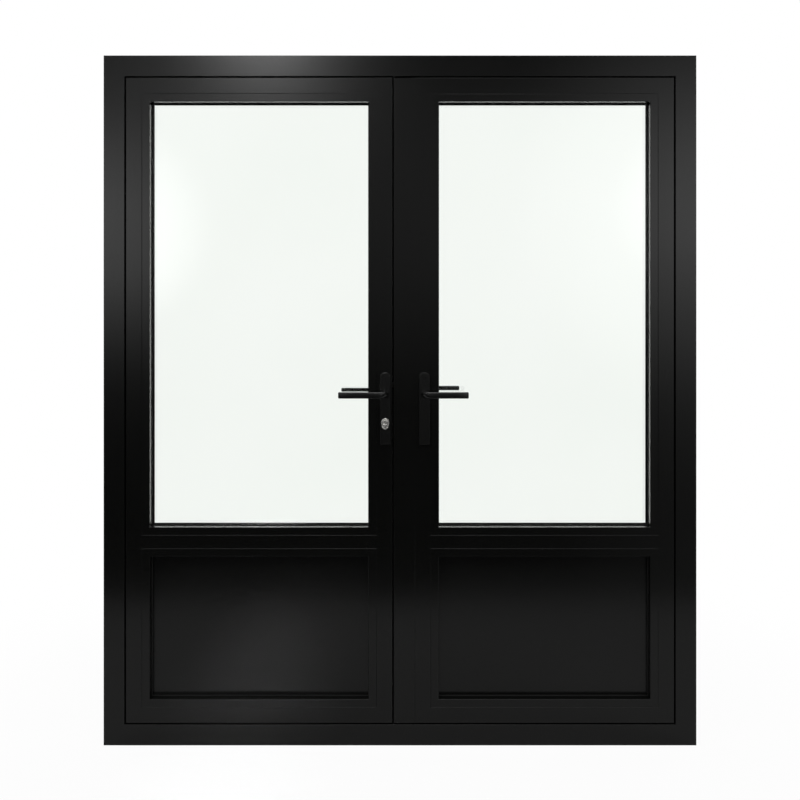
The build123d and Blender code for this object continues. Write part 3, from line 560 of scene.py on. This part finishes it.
def blend(tree, share, first, second):
    """One shader that turns into another as share goes from 0 to 1."""
    return tree.add("ShaderNodeMixShader", {}, {0: share, 1: first, 2: second})


def glow(tree, level):
    """White light from the world at the given level."""
    return tree.add("ShaderNodeBackground", {}, {"Color": WHITE, "Strength": level})


def ground():
    """A pale floor up to a little in front of the doors, which fades into the white ground."""
    mesh = bpy.data.meshes.new("floor")
    grid = bmesh.new()
    bmesh.ops.create_grid(grid, x_segments=1, y_segments=1, size=0.5)
    bmesh.ops.scale(grid, vec=(FLOOR_WIDTH, FLOOR_REAR - FLOOR_FRONT, 1.0), verts=grid.verts)
    bmesh.ops.translate(grid, vec=(0, (FLOOR_REAR + FLOOR_FRONT) / 2, -FLOOR_SINK), verts=grid.verts)
    grid.to_mesh(mesh)
    grid.free()
    floor = link("floor", mesh)
    made, tree, place = material("floor_white")
    paper = tree.add("ShaderNodeBsdfDiffuse", {}, {"Color": FLOOR_PAPER})
    white = tree.add("ShaderNodeEmission", {}, {"Color": WHITE, "Strength": 1.0})
    away = tree.add("ShaderNodeVectorMath", {"operation": "LENGTH"}, {0: place}, output=VECTOR_NUMBER)
    fade = smooth_step(tree, away, FADE_START, FADE_END, FADE_FIRST, FADE_LAST)
    tree.finish("ShaderNodeOutputMaterial", blend(tree, seen_directly(tree) * fade, paper, white))
    mesh.materials.append(made)


def seen_directly(tree):
    """1 for rays from the camera, also through glass, else 0."""
    camera = tree.add("ShaderNodeLightPath")
    through = tree.add("ShaderNodeLightPath", output=PATH_TRANSMISSION)
    return tree.add("ShaderNodeMath", {"operation": "MAXIMUM"}, {0: camera, 1: through})


def soft_light(tree, direction, right, up, reach):
    """1 towards the middle of a soft light, falling to 0 at reach degrees from it."""
    right, up = math.radians(right), math.radians(up)
    centre = (math.sin(right) * math.cos(up), -math.cos(right) * math.cos(up), math.sin(up))
    nearness = tree.add(
        "ShaderNodeVectorMath",
        {"operation": "DOT_PRODUCT"},
        {0: direction, 1: centre},
        output=VECTOR_NUMBER,
    )
    return smooth_step(tree, nearness, math.cos(math.radians(reach)), 1.0)


def sky():
    """A dim studio with soft lights before the doors, a white backdrop behind them."""
    world = bpy.data.worlds.new("studio")
    bpy.context.scene.world = world
    tree = Shader(world)
    direction = tree.add("ShaderNodeTexCoord")
    glossy = tree.add("ShaderNodeLightPath", output=PATH_GLOSSY)
    height = tree.add("ShaderNodeSeparateXYZ", {}, {0: direction}, output=UPWARD_PART)
    rise = smooth_step(tree, height, WALL_FOOT, WALL_FULL)
    over = smooth_step(tree, height, WALL_TOP, WALL_END)
    surface = blend(tree, rise * (1.0 - over), glow(tree, ROOM_LEVEL), glow(tree, WALL_LEVEL))
    for right, up, reach, level in SOFT_LIGHTS:
        mask = soft_light(tree, direction, right, up, reach)
        surface = blend(tree, mask, surface, glow(tree, level))
    white = glow(tree, 1.0)
    backdrop = blend(tree, glossy, glow(tree, BACKDROP_LIGHT), white)
    behind = soft_light(tree, direction, BACKDROP_RIGHT, BACKDROP_UP, BACKDROP_REACH)
    surface = blend(tree, behind, surface, backdrop)
    tree.finish("ShaderNodeOutputWorld", blend(tree, seen_directly(tree), surface, white))


def lamp(name, place, aim, size, watts):
    """A soft rectangular lamp at place that points at aim."""
    data = bpy.data.lights.new(name, "AREA")
    data.shape = "RECTANGLE"
    data.size, data.size_y = size
    data.energy = watts
    made = link(name, data)
    made.location = place
    made.rotation_euler = (Vector(aim) - Vector(place)).to_track_quat("-Z", "Y").to_euler()
    made.visible_camera = False
    return data


def lamps():
    """High lamps to the sides, before and behind, which the flat faces don't mirror to the camera."""
    middle = (0, 0, HEIGHT / 2)
    for side, back in ((-1, -1), (1, -1), (-1, 1), (1, 1)):
        name = ("left" if side < 0 else "right") + ("_front" if back < 0 else "_rear")
        lamp(name, (side * LAMP_SIDE, back * LAMP_BACK, LAMP_UP), middle, LAMP_SIZE, LAMP_WATTS)
    pool = lamp("floor_pool", POOL_PLACE, POOL_AIM, POOL_SIZE, POOL_WATTS)
    pool.spread = math.radians(POOL_SPREAD)


def camera():
    """The photograph's camera: level, square on, with its picture shifted down."""
    data = bpy.data.cameras.new("camera")
    data.sensor_width = SENSOR
    data.lens = SENSOR * CAMERA_DISTANCE / PICTURE_WIDTH
    data.shift_y = (PICTURE_MIDDLE_Z - CAMERA_Z) / PICTURE_WIDTH
    data.clip_start = CLIP_START
    made = link("camera", data)
    made.location = (0.0, FRONT_Y - CAMERA_DISTANCE, CAMERA_Z)
    made.rotation_euler = (math.pi / 2, 0, 0)
    bpy.context.scene.camera = made


dress_nodes()
meeting_seal()
for row in SOFT_EDGES:
    soften(*row)
lock_rims()
for row in LEVERS:
    lever(*row)
for row in PLATE_SCREWS:
    plate_screws(*row)
for row in HINGE_SCREWS:
    hinge_screws(*row)
ground()
sky()
lamps()
camera()
bpy.context.scene.view_settings.view_transform = "Standard"

bpy.context.view_layer.update()
